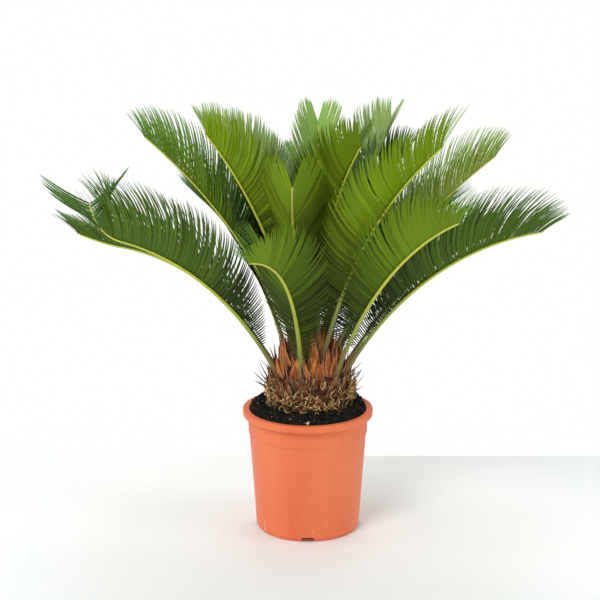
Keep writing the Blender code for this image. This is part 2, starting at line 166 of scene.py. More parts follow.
FRONDS = (
    Frond("frond_left_low", "outer", 203, 60.5, 7.5, 0.452, "old", 1.2, sway=7, curl=60,
          turn=-95, spread=30, petiole=0.13, tail=0.68, lifts=FLAT_TIP),
    Frond("frond_right_low", "outer", -17, 58.8, 12.5, 0.422, "old", 1.08, sway=-3,
          lifts=((0.0, 58.0),)),
    Frond("frond_front", "outer", -104, 77, 8, 0.35, "mid", 0.9, sway=-15, petiole=0.10, foot=0.22,
          lifts=OPEN_FOOT),
    Frond("frond_right_front", "outer", -45, 66, 24, 0.41, "mid", sway=-9),
    Frond("frond_right_tall", "middle", -58, 65.4, 42.5, 0.457, "young", 0.92, sway=28,
          tail=0.80),
    Frond("frond_left_tall", "inner", 171, 64.8, 38, 0.43, "mid", 1.06, sway=-3,
          lifts=COMB_FOOT),
    Frond("frond_left_steep", "inner", -147, 76, 50, 0.41, "young", 0.95, lifts=COMB_FOOT),
    Frond("frond_front_inner", "inner", -106, 70, 51, 0.34, "young", sway=20),
    Frond("frond_right_steep", "inner", -56, 88, 50, 0.375, "young"),
    Frond("frond_right_high", "middle", 0, 62.2, 37.5, 0.42, "pale"),
    Frond("frond_back_inner", "inner", 84, 71, 26, 0.435, "young", 0.95, sway=8,
          lifts=((0.0, 56.0),)),
    Frond("frond_right_far", "middle", 46, 80, 44, 0.405, "pale", 0.9, sway=8),
    Frond("frond_left_behind", "outer", 172, 60, -6.5, 0.41, "old", 0.75, sway=4, curl=28, tail=0.75,
          lifts=((0.0, 55.0),)),
    Frond("frond_left_far", "middle", 141, 73, 46, 0.405, "pale", 0.9),
    Frond("frond_back_left_high", "inner", 132, 73, 42, 0.39, "pale", 0.9),
    Frond("frond_back_left", "middle", 115, 71, 38, 0.37, "pale", 0.80),
    Frond("frond_back_slim", "middle", 92, 65, 26, 0.38, "mid", 0.75, sway=6),
    Frond("frond_right_behind", "outer", 14, 57, 18, 0.33, "old", petiole=0.10,
          foot=0.4, lifts=LOW_FOOT),
    # The inner frond frond_right_far_inner wears the darker old tint as painted shade, where it shows
    # through the gap between the fronds in front of it
    Frond("frond_right_far_inner", "inner", 34, 74, 42, 0.36, "old", 0.9, petiole=0.05,
          foot=0.4, lifts=LOW_FOOT),
    Frond("frond_back_low_right", "outer", 44, 60, 12, 0.38, "old", petiole=0.08,
          foot=0.4, lifts=LOW_FOOT),
    Frond("frond_back_low", "outer", 72, 60, 12, 0.38, "old", petiole=0.08, foot=0.4, lifts=LOW_FOOT),
    Frond("frond_back_low_left", "outer", 100, 60, 12, 0.38, "old"),
    Frond("frond_back_low_far", "outer", 127, 62, 16, 0.37, "old"),
)

# Each tint: the upper face and the underside of a leaflet, as display red, green and blue
TINTS = {
    # The young tint is lighter partly for the fronds' youth and partly with painted light, standing in
    # for light that shines through the thin leaflets
    "young": ((142, 178, 92), (130, 158, 18)),
    "mid": ((104, 150, 62), (112, 142, 18)),
    "old": ((86, 122, 56), (86, 114, 32)),
    "pale": ((152, 180, 108), (152, 168, 60)),
}
# Painted shade: the darker copies of its tint that a leaflet may wear, from the crown's heart, where
# shade falls, to the open tips, where light falls
PAINTED_SHADE_FACTORS = (0.15, 0.28, 0.50, 0.78, 1.0)
PAINTED_SHADE_STEPS = (0.62, 0.90, 1.16, 1.50)


def display(red, green, blue):
    """Linear colour, with alpha, of a colour as a screen shows it."""
    scaled = np.array([red, green, blue]) / 255.0
    linear = np.where(scaled <= 0.04045, scaled / 12.92, ((scaled + 0.055) / 1.055) ** 2.4)
    return (*(float(part) for part in linear), 1.0)


def shaded(colour, by):
    return (*(min(1.0, part * by) for part in colour[:3]), 1.0)


class Look:
    """A procedural material in the making."""

    def __init__(self, name, roughness=0.5, specular=0.5):
        self.material = bpy.data.materials.new(name)
        self.material.use_nodes = True
        self.tree = self.material.node_tree
        self.shader = self.tree.nodes["Principled BSDF"]
        self.shader.inputs["Roughness"].default_value = roughness
        self.shader.inputs["Specular IOR Level"].default_value = specular
        self.place = self.tree.nodes.new("ShaderNodeTexCoord").outputs["Object"]

    def put(self, value, socket):
        """Links an output to a socket, or sets the socket to a plain value."""
        if isinstance(value, bpy.types.NodeSocket):
            self.tree.links.new(value, socket)
        else:
            socket.default_value = value

    def stretched(self, scale):
        """The place, scaled by a different number along each axis."""
        mapping = self.tree.nodes.new("ShaderNodeMapping")
        self.put(self.place, mapping.inputs["Vector"])
        mapping.inputs["Scale"].default_value = scale
        return mapping.outputs["Vector"]

    def noise(self, scale, detail=3.0, place=None, rough=0.55):
        texture = self.tree.nodes.new("ShaderNodeTexNoise")
        self.put(place or self.place, texture.inputs["Vector"])
        texture.inputs["Scale"].default_value = scale
        texture.inputs["Detail"].default_value = detail
        texture.inputs["Roughness"].default_value = rough
        return texture.outputs["Fac"]

    def ramp(self, factor, stops):
        """Colours, or grey values, at stops along a factor."""
        node = self.tree.nodes.new("ShaderNodeValToRGB")
        self.put(factor, node.inputs["Fac"])
        elements = node.color_ramp.elements
        while len(elements) < len(stops):
            elements.new(0.5)
        for element, (at, colour) in zip(elements, stops):
            element.position = at
            element.color = colour if isinstance(colour, tuple) else (colour,) * 3 + (1.0,)
        return node.outputs["Color"]

    def mix(self, factor, first, second, blend="MIX"):
        node = self.tree.nodes.new("ShaderNodeMix")
        node.data_type = "RGBA"
        node.blend_type = blend
        self.put(factor, node.inputs["Factor"])
        self.put(first, node.inputs["A"] if False else node.inputs[6])
        self.put(second, node.inputs[7])
        return node.outputs[2]

    def range(self, factor, low, high, start=0.3, end=0.7):
        """A factor's stretch from start to end, mapped to low and high."""
        node = self.tree.nodes.new("ShaderNodeMapRange")
        self.put(factor, node.inputs["Value"])
        node.inputs["From Min"].default_value = start
        node.inputs["From Max"].default_value = end
        node.inputs["To Min"].default_value = low
        node.inputs["To Max"].default_value = high
        return node.outputs["Result"]

    def colour(self, value):
        self.put(value, self.shader.inputs["Base Color"])

    def roughness(self, value):
        self.put(value, self.shader.inputs["Roughness"])

    def bump(self, height, distance, strength=1.0):
        node = self.tree.nodes.new("ShaderNodeBump")
        self.put(height, node.inputs["Height"])
        node.inputs["Distance"].default_value = distance
        node.inputs["Strength"].default_value = strength
        self.put(node.outputs["Normal"], self.shader.inputs["Normal"])


def mottled(name, colour, spread=0.12, scale=300.0, roughness=0.5, specular=0.4, relief=0.0):
    """A material of one colour, mottled finely between a darker and a lighter shade of it."""
    look = Look(name, roughness, specular)
    grain = look.noise(scale, 3.0)
    look.colour(look.ramp(grain, (
        (0.3, shaded(colour, 1.0 - spread)),
        (0.7, shaded(colour, 1.0 + spread)),
    )))
    look.roughness(look.range(grain, roughness - 0.06, roughness + 0.08))
    if relief:
        look.bump(grain, relief, 0.6)
    return look.material


def new_piece(name, points, faces, looks, face_looks=None, replaces=(), sharp=None):
    """A mesh piece that rides on the one body.

    points: (n, 3) places. faces: arrays of corner numbers, one array for each face size.
    face_looks: the number of each face's material. sharp: tells sharp edges by their ends.
    """
    faces = [group for group in faces if len(group)]
    corners = np.concatenate([group.reshape(-1) for group in faces]).astype(np.int32)
    sizes = np.concatenate([np.full(len(group), group.shape[1]) for group in faces])
    starts = np.concatenate([[0], np.cumsum(sizes)[:-1]]).astype(np.int32)
    mesh = bpy.data.meshes.new(name)
    mesh.vertices.add(len(points))
    mesh.vertices.foreach_set("co", np.asarray(points, np.float32).reshape(-1))
    mesh.loops.add(len(corners))
    mesh.loops.foreach_set("vertex_index", corners)
    mesh.polygons.add(len(sizes))
    mesh.polygons.foreach_set("loop_start", starts)
    for look in looks:
        mesh.materials.append(look)
    if face_looks is not None:
        mesh.polygons.foreach_set("material_index", np.asarray(face_looks, np.int32))
    mesh.update(calc_edges=True)
    mesh.polygons.foreach_set("use_smooth", np.ones(len(sizes), bool))
    if sharp is not None:
        ends = np.empty(len(mesh.edges) * 2, np.int32)
        mesh.edges.foreach_get("vertices", ends)
        first, second = ends.reshape(-1, 2).T
        marks = mesh.attributes.new("sharp_edge", "BOOLEAN", "EDGE")
        marks.data.foreach_set("value", sharp(first, second))
    piece = bpy.data.objects.new(name, mesh)
    bpy.context.scene.collection.objects.link(piece)
    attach(piece, "root")
    if replaces:
        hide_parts(*replaces)
    return piece


def unit(vectors):
    return vectors / np.maximum(np.linalg.norm(vectors, axis=-1, keepdims=True), 1e-12)


def swept(middles, across, up, section, sizes):
    """Rings of corners: (items, rows, sides, 3).

    middles, across and up: (items, rows, 3), with across x up along the sweep. section:
    (sides, 2) corners, counterclockwise. sizes: (items, rows, 2) width and height.
    """
    wide = section[None, None, :, 0] * sizes[..., 0:1]
    high = section[None, None, :, 1] * sizes[..., 1:2]
    return (
        middles[:, :, None, :]
        + wide[..., None] * across[:, :, None, :]
        + high[..., None] * up[:, :, None, :]
    )


def swept_faces(items, rows, sides, first=0):
    """Quads round each item's rings and a cap at each end, outward for such rings."""
    item, row, side = np.meshgrid(
        np.arange(items), np.arange(rows - 1), np.arange(sides), indexing="ij"
    )
    base = first + (item * rows + row) * sides
    turn = (side + 1) % sides
    quads = np.stack([base + side, base + turn, base + sides + turn, base + sides + side], -1)
    starts = first + np.arange(items)[:, None] * rows * sides + np.arange(sides)[::-1]
    ends = starts[:, ::-1] + (rows - 1) * sides
    return quads.reshape(-1, 4), starts, ends


def frames_along(middles, hint):
    """(across, up) at each middle of each item, from its path and a hint of its upper side."""
    heading = unit(np.gradient(middles, axis=1))
    up = hint - heading * (hint * heading).sum(-1, keepdims=True)
    up = unit(up)
    return np.cross(up, heading), up


def palm_profile():
    """(radius, height) points up the caudex and over the low dome of the crown."""
    foot = SOIL_LEVEL + GAP
    share = np.linspace(0.0, 1.0, 41)
    swell = np.sin(0.5 * math.pi * np.minimum(share / BELLY_SHARE, 1.0))
    fall = np.maximum((share - BELLY_SHARE) / (1.0 - BELLY_SHARE), 0.0)
    radius = FOOT_RADIUS + (CAUDEX_RADIUS - FOOT_RADIUS) * swell
    radius -= (CAUDEX_RADIUS - CAUDEX_TOP_RADIUS) * fall**1.6
    bend = 0.5 * math.pi * np.linspace(0.0, 1.0, 16)
    dome_radius = CROWN_TOP_RADIUS + (CROWN_RADIUS - CROWN_TOP_RADIUS) * np.cos(bend)
    dome_height = CAUDEX_TOP + GAP + (CROWN_TOP - CAUDEX_TOP - GAP) * np.sin(bend)
    radii = np.concatenate([radius, dome_radius, [0.0]])
    heights = np.concatenate([foot + (CAUDEX_TOP - foot) * share, dome_height, [CROWN_TOP]])
    return radii, heights


PROFILE_RADII, PROFILE_HEIGHTS = palm_profile()
PROFILE_RUN = np.concatenate(
    [[0.0], np.cumsum(np.hypot(np.diff(PROFILE_RADII), np.diff(PROFILE_HEIGHTS)))]
)


def on_palm(turn, run):
    """Places on the palm's bare body and its outward normals, by angle and metres up its skin."""
    radius = np.interp(run, PROFILE_RUN, PROFILE_RADII)
    height = np.interp(run, PROFILE_RUN, PROFILE_HEIGHTS)
    step = 0.002
    ahead = np.minimum(run + step, PROFILE_RUN[-1])
    behind = np.maximum(run - step, 0.0)
    outwards = np.interp(ahead, PROFILE_RUN, PROFILE_HEIGHTS)
    outwards -= np.interp(behind, PROFILE_RUN, PROFILE_HEIGHTS)
    upwards = np.interp(behind, PROFILE_RUN, PROFILE_RADII)
    upwards -= np.interp(ahead, PROFILE_RUN, PROFILE_RADII)
    out = np.stack([np.cos(turn), np.sin(turn), np.zeros_like(turn)], -1)
    top = np.array([0.0, 0.0, 1.0])
    normal = unit(out * outwards[..., None] + top * upwards[..., None])
    place = out * radius[..., None] + top * height[..., None]
    return place + np.array([PALM_X, 0.0, 0.0]), normal


class Rib:
    """The curved rib of a frond, by the part's own rule."""

    def __init__(self, frond):
        self.frond = frond
        steps = (np.arange(PATH_STEPS) + 0.5) / PATH_STEPS
        along, _, _ = self.directions(steps)
        root = self.foot()
        moves = np.cumsum(along * frond.length / PATH_STEPS, axis=0)
        self.places = np.vstack([root, root + moves])

    def foot(self):
        radius = WHORL_RADIUS[self.frond.whorl]
        climb = slice(np.argmax(PROFILE_RADII), None)
        height = np.interp(-radius, -PROFILE_RADII[climb], PROFILE_HEIGHTS[climb])
        heading = math.radians(self.frond.heading)
        return np.array(
            [PALM_X + radius * math.cos(heading), radius * math.sin(heading), height]
        )

    def foot_run(self):
        """How far up the palm's skin the foot stands."""
        climb = slice(np.argmax(PROFILE_RADII), None)
        return np.interp(
            -WHORL_RADIUS[self.frond.whorl], -PROFILE_RADII[climb], PROFILE_RUN[climb]
        )

    def directions(self, share):
        """The rib's own directions: along it, to its right and up off its face."""
        frond = self.frond
        rise = frond.rise + (frond.tip_rise - frond.rise) * share**BEND_POWER
        late = np.maximum(0.0, (share - CURL_START) / (1.0 - CURL_START)) ** CURL_POWER
        rise = np.radians(rise + frond.curl * late)
        heading = np.radians(frond.heading + frond.sway * share**2 + frond.turn * late)
        level = np.zeros_like(share)
        out = np.stack([np.cos(heading), np.sin(heading), level], -1)
        along = out * np.cos(rise)[..., None] + np.stack([level, level, np.sin(rise)], -1)
        side = np.stack([np.sin(heading), -np.cos(heading), level], -1)
        return along, side, np.cross(side, along)

    def at(self, share):
        """The places and the three directions at shares of the rib's length."""
        spot = share * PATH_STEPS
        low = np.minimum(spot.astype(int), PATH_STEPS - 1)
        near, far = self.places[low], self.places[low + 1]
        return (near + (far - near) * (spot - low)[:, None], *self.directions(share))


def rib_width(share):
    return RIB_WIDTH_ROOT + (RIB_WIDTH_TIP - RIB_WIDTH_ROOT) * share**0.7


# A leaflet's rounded upper face, its rolled edges and the keel under its midrib
LEAFLET_SECTION = np.array(
    [(0.50, -0.13), (0.26, 0.05), (0.0, -0.01), (-0.26, 0.05), (-0.50, -0.13), (0.0, -0.17)]
)
LEAFLET_SHARES = np.array([0.0, 0.07, 0.22, 0.42, 0.62, 0.80, 0.93, 1.0])
LEAFLET_WIDTHS = np.array([0.80, 0.84, 0.96, 1.0, 0.84, 0.58, 0.28, 0.03])


def leaflet_rings(rib, draw):
    """The rings of every leaflet of a frond."""
    petiole = rib.frond.petiole or PETIOLES[rib.frond.whorl]
    blade = rib.frond.length * (1.0 - petiole)
    pairs = round(blade / LEAFLET_PITCH)
    blade_share = np.repeat((np.arange(pairs) + 0.5) / pairs, 2)
    hand = np.tile([1.0, -1.0], pairs)
    count = len(hand)
    blade_share = np.clip(blade_share + draw.normal(0.0, 0.08 / pairs, count), 0.0, 1.0)
    share = petiole + (1.0 - petiole) * blade_share
    place, along, side, normal = rib.at(share)
    # Neighbours sway together, so the jitter is mostly a slow wave along each rank
    wave = np.interp(blade_share * 14.0, np.arange(16), draw.normal(0.0, 1.0, 16))
    angle = np.interp(blade_share, BLADE_SHARES, LEAFLET_ANGLES)
    angle = angle + rib.frond.spread * np.clip((blade_share - 0.7) / 0.3, 0.0, 1.0)
    angle = np.radians(angle + 1.0 * wave + draw.normal(0.0, 0.7, count))
    curve = np.interp(blade_share, BLADE_SHARES, LEAFLET_SWINGS)
    curve = np.radians(np.maximum(curve + draw.normal(0.0, 1.2, count), 1.0))
    lift = np.interp(blade_share, *zip(*rib.frond.lifts))
    lift = np.radians(lift + 1.5 * wave * hand + draw.normal(0.0, 1.2, count))
    sideways = side * (hand * np.cos(lift))[:, None] + normal * np.sin(lift)[:, None]
    least = np.where(blade_share < 0.5, rib.frond.foot, rib.frond.tail)
    grown = np.maximum(np.interp(blade_share, BLADE_SHARES, LEAFLET_LENGTHS), least)
    length = LEAFLET_LENGTH * rib.frond.size * grown
    length = length * draw.uniform(0.96, 1.02, count)
    root = place + sideways * (rib_width(share) * 0.30)[:, None]
    up = normal * np.cos(lift)[:, None] - side * (hand * np.sin(lift))[:, None]
    droop = draw.normal(0.02, 0.015, count)
    # The leaflet's direction swings forward from root to tip, so its path is an arc
    t = LEAFLET_SHARES[None, :]
    begin = (angle + curve)[:, None]
    now = begin - 2.0 * curve[:, None] * t
    ahead = (np.sin(begin) - np.sin(now)) / (2.0 * curve[:, None])
    aside = (np.cos(now) - np.cos(begin)) / (2.0 * curve[:, None])
    middles = (
        root[:, None, :]
        + (length[:, None] * ahead)[..., None] * along[:, None, :]
        + (length[:, None] * aside)[..., None] * sideways[:, None, :]
        - ((length * droop)[:, None] * t**2)[..., None] * up[:, None, :]
    )
    heading = along * np.cos(angle)[:, None] + sideways * np.sin(angle)[:, None]
    turn = np.radians(LEAFLET_TWIST + draw.normal(0.0, 2.5, count)) * hand
    up = up * np.cos(turn)[:, None] + np.cross(heading, up) * np.sin(turn)[:, None]
    across, upper = frames_along(middles, np.broadcast_to(up[:, None, :], middles.shape))
    narrower = np.interp(blade_share, (0.0, 0.15, 0.40, 0.85, 1.0), (0.40, 0.65, 1.0, 0.95, 0.7))
    widths = LEAFLET_WIDTH * narrower * draw.uniform(0.94, 1.06, count)
    sizes = widths[:, None] * LEAFLET_WIDTHS[None, :]
    sizes = np.stack([sizes, sizes], -1)
    return swept(middles, across, upper, LEAFLET_SECTION, sizes)


def build_leaflets(tint, ribs, draw):
    """All the leaflets of one tint's fronds, each dealt one painted shade of it: darker deeper in the
    crown, where shade falls, and lighter out at the open tips.
    """
    rings = np.concatenate([leaflet_rings(rib, draw) for rib in ribs])
    items, rows, sides, _ = rings.shape
    quads, starts, ends = swept_faces(items, rows, sides)
    upper, under = (display(*colour) for colour in TINTS[tint])
    looks = []
    # Lit and shaded copies of each face's colour, one material for each step of painted shade
    for shade in PAINTED_SHADE_FACTORS:
        for face, colour in (("upper", upper), ("under", under)):
            name = f"leaf_{tint}_{face}_{round(100 * shade)}"
            looks.append(mottled(name, shaded(colour, shade), 0.10, 500.0, 0.55, 0.15))
    # Painted shade dealt by place: leaflets near the palm's axis and low in the crown get the darker
    # copies, those far out and high the lighter ones
    centre = rings[:, rows // 2].mean(axis=1)
    openness_for_painted_shade = np.hypot(centre[:, 0] - PALM_X, centre[:, 1]) / 0.22 + (centre[:, 2] - 0.33) / 0.45
    dealt = np.searchsorted(PAINTED_SHADE_STEPS, openness_for_painted_shade + draw.normal(0.0, 0.10, items))
    below = (np.arange(sides) >= 4).astype(int)
    quad_looks = 2 * dealt[:, None, None] + below[None, None, :] + np.zeros((1, rows - 1, 1), int)
    face_looks = np.concatenate([quad_looks.reshape(-1), 2 * dealt + 1, 2 * dealt])

    def sharp(first, second):
        corner = first % sides
        return (corner == second % sides) & ((corner == 0) | (corner == 4))

    new_piece(
        f"leaflets_{tint}",
        rings.reshape(-1, 3),
        [quads, starts, ends],
        looks,
        face_looks,
        replaces=[rib.frond.name for rib in ribs],
        sharp=sharp,
    )


RIB_SECTION = np.array(
    [
        (0.50, 0.20),
        (0.30, 0.34),
        (0.0, 0.28),
        (-0.30, 0.34),
        (-0.50, 0.20),
        (-0.40, -0.18),
        (0.0, -0.48),
        (0.40, -0.18),
    ]
)


def rib_look():
    """Olive petioles that turn yellow-green and then yellow along the blade."""
    look = Look("rib", 0.45, 0.4)
    along = look.tree.nodes.new("ShaderNodeAttribute")
    along.attribute_name = "along"
    streaks = look.noise(420.0, 3.0)
    tone = look.ramp(along.outputs["Fac"], (
        (0.0, display(118, 78, 44)),
        (0.05, display(132, 112, 62)),
        (0.12, display(128, 134, 66)),
        (0.24, display(164, 178, 62)),
        (0.50, display(204, 208, 72)),
        (1.0, display(214, 222, 96)),
    ))
    look.colour(look.mix(look.range(streaks, 0.0, 0.25), tone, display(112, 120, 44)))
    look.roughness(look.range(streaks, 0.38, 0.55))
    look.bump(streaks, 0.0002, 0.4)
    return look.material


# How far down the palm's skin a petiole's base reaches below its foot, and its width there
BASE_DROPS = np.array([0.028, 0.018, 0.008])
BASE_WIDTHS = np.array([0.004, 0.011, 0.0155])


def build_ribs(ribs):
    """The ribs and petioles of all the fronds, each grown on from a base on the palm's skin."""
    middles, lefts, ups, widths, shares = [], [], [], [], []
    for rib in ribs:
        share = np.linspace(0.0, 1.0, RIB_ROWS) ** 1.15
        place, along, side, normal = rib.at(share)
        turn = np.full(len(BASE_DROPS), math.radians(rib.frond.heading))
        low, skin = on_palm(turn, rib.foot_run() - BASE_DROPS)
        middles.append(np.vstack([low, place]))
        lefts.append(-np.vstack([np.repeat(side[:1], len(low), 0), side]))
        ups.append(np.vstack([-skin, normal]))
        width = rib_width(share) * (1.0 + 0.75 * np.exp(-share / 0.035))
        widths.append(np.concatenate([BASE_WIDTHS, width]))
        shares.append(np.concatenate([np.zeros(len(low)), share]))
    widths = np.array(widths)
    sizes = np.stack([widths, widths], -1)
    sizes[:, : len(BASE_DROPS), 1] *= 0.7
    sizes[:, -1] *= 0.3
    rings = swept(np.array(middles), np.array(lefts), np.array(ups), RIB_SECTION, sizes)
    sides = len(RIB_SECTION)
    quads, starts, ends = swept_faces(len(ribs), rings.shape[1], sides)
    piece = new_piece(
        "ribs",
        rings.reshape(-1, 3),
        [quads, starts, ends],
        [rib_look()],
        replaces=[rib.frond.name for rib in ribs],
    )
    along = piece.data.attributes.new("along", "FLOAT", "POINT")
    along.data.foreach_set("value", np.repeat(np.array(shares).reshape(-1), sides))


def build_spines(ribs, draw):
    """Short thorns, the last of the leaflets, in pairs down both edges of each petiole."""
    rings = []
    for rib in ribs:
        petiole = rib.frond.petiole or PETIOLES[rib.frond.whorl]
        pairs = max(2, round(rib.frond.length * petiole * 0.65 / SPINE_PITCH))
        share = np.repeat(np.linspace(0.35 * petiole, petiole, pairs), 2)
        hand = np.tile([1.0, -1.0], pairs)
        place, along, side, normal = rib.at(share)
        sideways = unit(side * hand[:, None] + 0.5 * normal)
        length = draw.uniform(0.0035, 0.0065, len(share)) * (0.6 + 0.7 * share / petiole)
        root = place + side * (hand * rib_width(share) * 0.42)[:, None]
        heading = unit(sideways + along * draw.uniform(0.15, 0.6, len(share))[:, None])
        t = np.array([0.0, 0.5, 1.0])[None, :, None]
        middles = root[:, None] + heading[:, None] * length[:, None, None] * t
        across, up = frames_along(middles, np.broadcast_to(normal[:, None], middles.shape))
        width = draw.uniform(0.0013, 0.0018, len(share))[:, None] * np.array([1.0, 0.6, 0.08])
        rings.append(swept(middles, across, up, FIBRE_SECTION, np.stack([width, width], -1)))
    rings = np.concatenate(rings)
    items, rows, sides, _ = rings.shape
    new_piece(
        "petiole_spines",
        rings.reshape(-1, 3),
        swept_faces(items, rows, sides),
        [mottled("spine_green", display(126, 132, 60), 0.15, 500.0, 0.6, 0.2)],
    )


def lobed_noise(points, scale, octaves=3):
    """Smooth noise at each point, about -1 to 1."""
    return np.array([
        noise.fractal(Vector(point) * scale, 1.0, 2.0, octaves) for point in points.reshape(-1, 3)
    ]).reshape(points.shape[:-1])


def lathe(profile, sides, centre_x=0.0):
    """Points and quads of a profile of (radius, height) turned about the vertical, and its caps."""
    profile = np.array(profile)
    turn = math.tau * np.arange(sides) / sides
    out = np.stack([np.cos(turn), np.sin(turn), np.zeros(sides)], -1)
    rings = out[None] * profile[:, None, 0:1]
    rings[..., 2] += profile[:, None, 1]
    rings[..., 0] += centre_x
    quads, starts, ends = swept_faces(1, len(profile), sides)
    return rings.reshape(-1, 3), [quads, starts, ends]


# Caudex

def caudex_look():
    """Brown fibrous skin, tan low down and maroon higher up."""
    look = Look("caudex_skin", 0.85, 0.2)
    strands = look.noise(60.0, 5.0, look.stretched((4.0, 4.0, 1.6)), 0.65)
    height = look.tree.nodes.new("ShaderNodeSeparateXYZ")
    look.put(look.place, height.inputs["Vector"])
    low = look.range(height.outputs["Z"], 1.0, 0.0, 0.232, 0.250)
    tan = look.ramp(strands, (
        (0.32, display(30, 21, 15)),
        (0.48, display(66, 46, 29)),
        (0.62, display(118, 86, 52)),
    ))
    maroon = look.ramp(strands, (
        (0.32, display(30, 16, 13)),
        (0.50, display(74, 38, 26)),
        (0.66, display(128, 70, 42)),
    ))
    look.colour(look.mix(low, maroon, tan))
    look.bump(strands, 0.0015, 0.8)
    return look.material


def build_caudex():
    """The egg and the dome in one rough fibrous skin."""
    run = np.linspace(0.0, PROFILE_RUN[-1] - 0.004, 90)
    turn = math.tau * np.arange(CAUDEX_SIDES) / CAUDEX_SIDES
    runs, turns = np.meshgrid(run, turn, indexing="ij")
    place, normal = on_palm(turns, runs)
    ridges = lobed_noise(place * np.array([1.0, 1.0, 0.55]), 130.0)
    lumps = lobed_noise(place, 45.0, 2)
    lift = 0.0016 * ridges + 0.0018 * lumps - 0.0006
    lift[0] = 0.0
    place = place + normal * lift[..., None]
    quads, starts, ends = swept_faces(1, len(run), CAUDEX_SIDES)
    new_piece(
        "caudex",
        place.reshape(-1, 3),
        [quads, starts, ends],
        [caudex_look()],
        replaces=["trunk"],
    )


SCALE_SECTION = np.array(
    [
        (0.50, 0.0),
        (0.40, 0.13),
        (0.0, 0.30),
        (-0.40, 0.13),
        (-0.50, 0.0),
        (-0.38, -0.10),
        (0.0, -0.16),
        (0.38, -0.10),
    ]
)
SCALE_SHARES = np.array([0.0, 0.15, 0.35, 0.55, 0.75, 0.90, 1.0])


def fibrous(name, dark, light, roughness=0.9, scale=90.0):
    """A felted, streaky material between two display colours, streaked along the height."""
    look = Look(name, roughness, 0.15)
    strands = look.noise(scale, 4.0, look.stretched((3.2, 3.2, 0.55)), 0.62)
    look.colour(look.ramp(strands, ((0.34, display(*dark)), (0.64, display(*light)))))
    look.bump(strands, 0.0012, 0.8)
    return look.material


def scale_rings(turn, run, lean, length, width, thick, widths, curve, draw):
    """Pointed scales that grow from the palm's skin.

    lean: 0 for upright to 1 for straight out. curve: how much the tip bends back upright.
    """
    root, _ = on_palm(turn, run)
    out = np.stack([np.cos(turn), np.sin(turn), np.zeros_like(turn)], -1)
    top = np.array([0.0, 0.0, 1.0])
    lean = lean[:, None]
    heading = unit(top * (1.0 - lean) + out * lean)
    outer = unit(out * (1.0 - lean) - top * lean)
    skew = np.cross(heading, outer)
    heading = unit(heading + skew * draw.normal(0.0, 0.12, len(turn))[:, None])
    t = SCALE_SHARES[None, :, None]
    start = root - heading * (0.12 * length)[:, None] - out * 0.0015
    middles = (
        start[:, None]
        + heading[:, None] * length[:, None, None] * t
        + (top - 0.35 * out)[:, None] * (length * curve)[:, None, None] * t**2
    )
    across, up = frames_along(middles, np.broadcast_to(outer[:, None], middles.shape))
    sizes = np.stack(
        [width[:, None] * widths[None], thick[:, None] * np.sqrt(widths)[None]], -1
    )
    return swept(middles, across, up, SCALE_SECTION, sizes)


def build_scales(name, rings, looks, dealt, edge_look, replaces=(), tip_look=None):
    """A piece of scales, each dealt one look, with its outer edges in the edge's look."""
    items, rows, sides, _ = rings.shape
    quads, starts, ends = swept_faces(items, rows, sides)
    on_edge = np.isin(np.arange(sides), (0, 3))
    quad_looks = np.where(on_edge[None, None, :], edge_look, dealt[:, None, None])
    quad_looks = np.broadcast_to(quad_looks, (items, rows - 1, sides)).copy()
    if tip_look is not None:
        quad_looks[:, rows // 2:] = tip_look
    face_looks = np.concatenate([quad_looks.reshape(-1), dealt, dealt])
    return new_piece(
        name, rings.reshape(-1, 3), [quads, starts, ends], looks, face_looks, replaces
    )


# Each layer of scales: how many, metres up the skin from and to, lean, length from and to,
# and width from and to
BUD_LAYERS = (
    (42, 0.052, 0.064, 0.10, 0.032, 0.046, 0.012, 0.018),
    (44, 0.066, 0.082, 0.08, 0.034, 0.048, 0.010, 0.015),
    (44, 0.084, 0.118, 0.10, 0.032, 0.046, 0.007, 0.011),
)
STUB_LAYERS = (
    (96, 0.030, 0.050, 0.30, 0.013, 0.022, 0.006, 0.011),
    (210, 0.001, 0.034, 0.55, 0.009, 0.015, 0.006, 0.012),
)
SPINE_LAYER = (62, 0.022, 0.058, 0.72, 0.024, 0.036, 0.0046, 0.0062)
POINTED = np.array([0.95, 1.0, 0.92, 0.68, 0.38, 0.15, 0.02])
BLUNT = np.array([1.0, 0.98, 0.92, 0.82, 0.68, 0.48, 0.20])
TAPERED = np.array([1.0, 0.84, 0.64, 0.46, 0.29, 0.14, 0.03])


def layer_rings(layers, widths, thick, curve, draw):
    """The rings of some layers of scales, and how far up its own layers each one stands."""
    rings, higher = [], []
    first, last = min(layer[1] for layer in layers), max(layer[2] for layer in layers)
    for count, start, end, lean, short, long, narrow, wide in layers:
        order = np.arange(count)
        turn = order * GOLDEN_ANGLE + draw.uniform(0.0, math.tau) + draw.normal(0.0, 0.1, count)
        run = np.clip(draw.uniform(start, end, count), 0.001, None)
        leans = np.clip(lean + draw.normal(0.0, 0.10, count), 0.0, 0.95)
        length = draw.uniform(short, long, count)
        width = draw.uniform(narrow, wide, count)
        rings.append(scale_rings(
            turn, run, leans, length, width, width * draw.uniform(*thick, count), widths,
            draw.uniform(*curve, count), draw,
        ))
        higher.append((run - first) / (last - first))
    return np.concatenate(rings), np.concatenate(higher)


def build_bud_scales(draw):
    """Broad upright scales, orange to rust, round the petioles' feet and over the dome."""
    rings, higher = layer_rings(BUD_LAYERS, POINTED, (0.26, 0.36), (0.0, 0.15), draw)
    looks = [
        fibrous("scale_orange", (150, 74, 30), (224, 138, 72)),
        fibrous("scale_rust", (112, 52, 26), (188, 104, 54)),
        fibrous("scale_maroon", (66, 30, 24), (128, 68, 46)),
        fibrous("scale_edge", (176, 112, 70), (236, 196, 150)),
    ]
    chances = draw.uniform(0.0, 1.0, len(higher)) + 0.5 * higher
    dealt = np.where(chances > 0.55, 0, np.where(chances > 0.22, 1, 2))
    build_scales("bud_scales", rings, looks, dealt, 3, ["crown_scales"])


